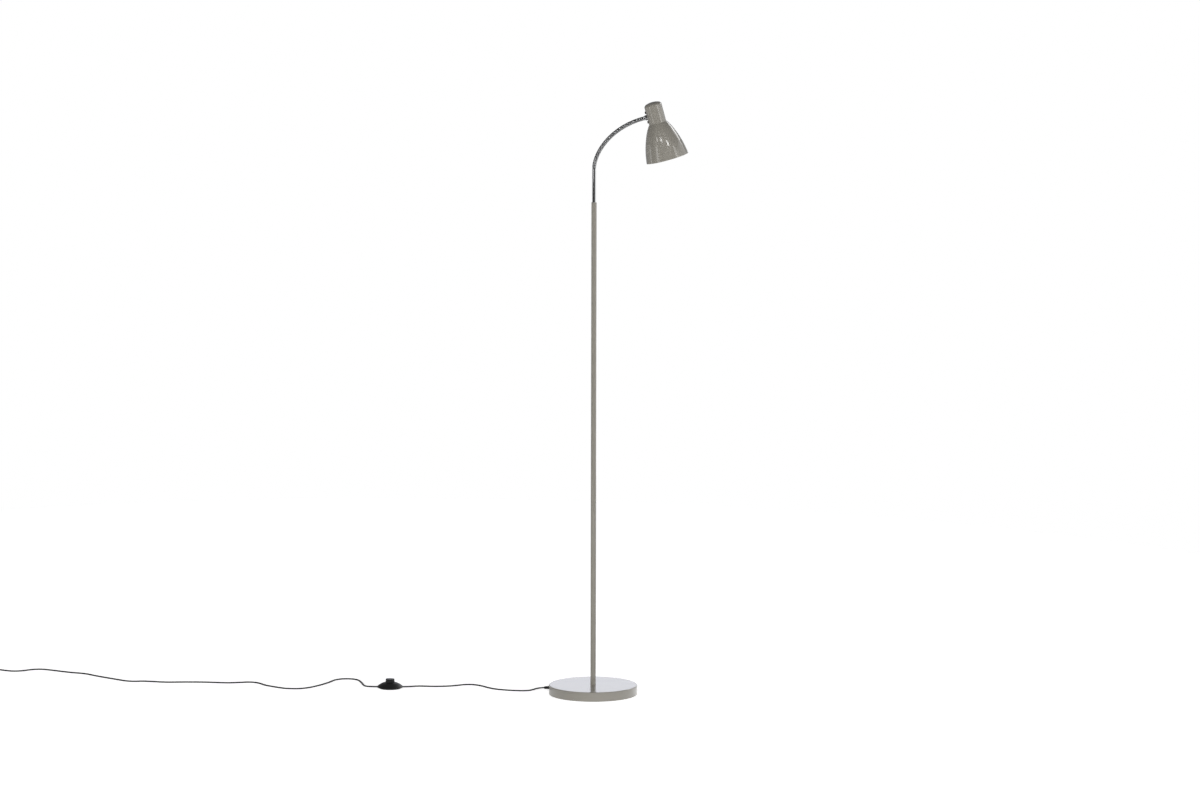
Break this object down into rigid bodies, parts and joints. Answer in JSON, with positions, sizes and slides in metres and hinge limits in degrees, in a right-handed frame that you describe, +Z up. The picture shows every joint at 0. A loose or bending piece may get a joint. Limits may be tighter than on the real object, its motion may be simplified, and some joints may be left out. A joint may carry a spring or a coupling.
{
  "type": "gooseneck reading floor lamp",
  "caption": "Slim floor lamp with a round weighted base, straight pole, short bendable gooseneck, small bell shade and a foot switch on its cord.",
  "frame": {"origin": "centre of the base's pad on the floor", "axes": "+Z up along the pole, +X towards the lamp head, the cord leaves towards -X"},
  "size_m": [1.7005, 0.4524, 1.3405],
  "materials": {
    "lacquer": "gloss warm grey lacquer",
    "cast_iron": "as cast, oiled",
    "plated_steel": "bright plated",
    "bare_steel": "zinc plated",
    "black_screw": "black finish",
    "pad_rubber": "soft foam rubber",
    "black_plastic": "satin black moulding",
    "black_gloss_plastic": "glossy black moulding",
    "white_plastic": "white moulding",
    "cord_sheath": "smooth black sheath",
    "brass": "pressed",
    "nickel_pins": "nickel plated",
    "bulb_glass": "frosted"
  },
  "bodies": {
    "stand": {"base_cover": "lacquer", "pole_lower": "lacquer", "pole_middle": "lacquer", "pole_upper": "lacquer", "pole_top_bush": "lacquer", "base_weight": "cast_iron", "gooseneck_sleeve": "plated_steel", "base_washer": "bare_steel", "base_nut": "bare_steel", "base_stud": "bare_steel", "pole_inserts": "bare_steel", "pole_couplers": "bare_steel", "cord_clamp": "bare_steel", "cord_clamp_screws": "bare_steel", "foot_switch_spring": "bare_steel", "foot_switch_screws": "bare_steel", "base_pad": "pad_rubber", "cord_gland": "black_plastic", "foot_switch_bottom": "black_plastic", "plug_body": "black_plastic", "cord_tie": "black_plastic", "foot_switch_cover": "black_gloss_plastic", "supply_flex": "cord_sheath", "gooseneck_flex": "cord_sheath", "cord_to_switch": "cord_sheath", "cord_to_plug": "cord_sheath", "cord_coil": "cord_sheath", "foot_switch_contacts": "brass", "plug_pins": "nickel_pins"},
    "link_01": {"gooseneck_link_01": "plated_steel"},
    "link_02": {"gooseneck_link_02": "plated_steel"},
    "link_03": {"gooseneck_link_03": "plated_steel"},
    "link_04": {"gooseneck_link_04": "plated_steel"},
    "link_05": {"gooseneck_link_05": "plated_steel"},
    "link_06": {"gooseneck_link_06": "plated_steel"},
    "link_07": {"gooseneck_link_07": "plated_steel"},
    "link_08": {"gooseneck_link_08": "plated_steel"},
    "link_09": {"gooseneck_link_09": "plated_steel"},
    "link_10": {"gooseneck_link_10": "plated_steel"},
    "link_11": {"gooseneck_link_11": "plated_steel"},
    "link_12": {"gooseneck_link_12": "plated_steel"},
    "head": {"gooseneck_ferrule": "plated_steel", "head_collar": "lacquer", "gooseneck_lock_nut": "bare_steel", "neck_cup": "lacquer", "holder_screws": "black_screw", "holder_bracket": "bare_steel", "lampholder": "black_plastic", "lampholder_shell": "brass", "shade_ring": "white_plastic", "shade_bell": "lacquer", "bulb_glass": "bulb_glass", "bulb_cap": "brass", "head_leads": "cord_sheath"},
    "switch_button": {"foot_switch_button": "black_gloss_plastic"}
  },
  "joints": [
    {"name": "gooseneck_bend_lower", "type": "hinge", "parent": "stand", "child": "link_01", "pos_m": [0, 0, 1.1955], "axis": [0, 1, 0], "range_deg": [-10, 6.5], "deforming": ["gooseneck_flex"]},
    {"name": "gooseneck_sway", "type": "hinge", "parent": "link_01", "child": "link_02", "pos_m": [0.00195, 0, 1.20913], "axis": [0.9742, 0, -0.2258], "range_deg": [-9, 9], "deforming": ["gooseneck_flex"]},
    {"name": "gooseneck_bend_lower_2", "type": "hinge", "parent": "link_02", "child": "link_03", "pos_m": [0.0062, 0, 1.22223], "axis": [0, 1, 0], "range_deg": [-10, 6.5], "deforming": ["gooseneck_flex"]},
    {"name": "gooseneck_sway_2", "type": "hinge", "parent": "link_03", "child": "link_04", "pos_m": [0.01214, 0, 1.23467], "axis": [0.8761, 0, -0.4821], "range_deg": [-9, 9], "deforming": ["gooseneck_flex"]},
    {"name": "gooseneck_bend_lower_3", "type": "hinge", "parent": "link_04", "child": "link_05", "pos_m": [0.01947, 0, 1.24635], "axis": [0, 1, 0], "range_deg": [-10, 6.5], "deforming": ["gooseneck_flex"]},
    {"name": "gooseneck_sway_3", "type": "hinge", "parent": "link_05", "child": "link_06", "pos_m": [0.02798, 0, 1.25719], "axis": [0.7553, 0, -0.6554], "range_deg": [-9, 9], "deforming": ["gooseneck_flex"]},
    {"name": "gooseneck_bend_lower_4", "type": "hinge", "parent": "link_06", "child": "link_07", "pos_m": [0.03752, 0, 1.26715], "axis": [0, 1, 0], "range_deg": [-10, 6.5], "deforming": ["gooseneck_flex"]},
    {"name": "gooseneck_sway_4", "type": "hinge", "parent": "link_07", "child": "link_08", "pos_m": [0.04793, 0, 1.27619], "axis": [0.6219, 0, -0.7831], "range_deg": [-9, 9], "deforming": ["gooseneck_flex"]},
    {"name": "gooseneck_bend_upper", "type": "hinge", "parent": "link_08", "child": "link_09", "pos_m": [0.05909, 0, 1.28428], "axis": [0, 1, 0], "range_deg": [-10, 6.5], "deforming": ["gooseneck_flex"]},
    {"name": "gooseneck_sway_5", "type": "hinge", "parent": "link_09", "child": "link_10", "pos_m": [0.07089, 0, 1.2914], "axis": [0.4817, 0, -0.8763], "range_deg": [-9, 9], "deforming": ["gooseneck_flex"]},
    {"name": "gooseneck_bend_upper_2", "type": "hinge", "parent": "link_10", "child": "link_11", "pos_m": [0.08323, 0, 1.29755], "axis": [0, 1, 0], "range_deg": [-10, 6.5], "deforming": ["gooseneck_flex"]},
    {"name": "gooseneck_sway_6", "type": "hinge", "parent": "link_11", "child": "link_12", "pos_m": [0.09602, 0, 1.30272], "axis": [0.339, 0, -0.9408], "range_deg": [-9, 9], "deforming": ["gooseneck_flex"]},
    {"name": "gooseneck_bend_upper_3", "type": "hinge", "parent": "link_12", "child": "head", "pos_m": [0.10916, 0, 1.30689], "axis": [0, 1, 0], "range_deg": [-10, 6.5], "deforming": ["gooseneck_flex"]},
    {"name": "switch_press", "type": "slide", "parent": "stand", "child": "switch_button", "axis": [0, 0, -1], "range_m": [0, 0.003], "stiffness_N_per_m": 1500, "springref_m": -0.002, "deforming": ["foot_switch_spring"]}
  ],
  "couplings": [
    {"joint": "gooseneck_bend_lower_2", "follows": "gooseneck_bend_lower", "ratio": 1},
    {"joint": "gooseneck_sway_2", "follows": "gooseneck_sway", "ratio": 1},
    {"joint": "gooseneck_bend_lower_3", "follows": "gooseneck_bend_lower", "ratio": 1},
    {"joint": "gooseneck_sway_3", "follows": "gooseneck_sway", "ratio": 1},
    {"joint": "gooseneck_bend_lower_4", "follows": "gooseneck_bend_lower", "ratio": 1},
    {"joint": "gooseneck_sway_4", "follows": "gooseneck_sway", "ratio": 1},
    {"joint": "gooseneck_sway_5", "follows": "gooseneck_sway", "ratio": 1},
    {"joint": "gooseneck_bend_upper_2", "follows": "gooseneck_bend_upper", "ratio": 1},
    {"joint": "gooseneck_sway_6", "follows": "gooseneck_sway", "ratio": 1},
    {"joint": "gooseneck_bend_upper_3", "follows": "gooseneck_bend_upper", "ratio": 1}
  ]
}
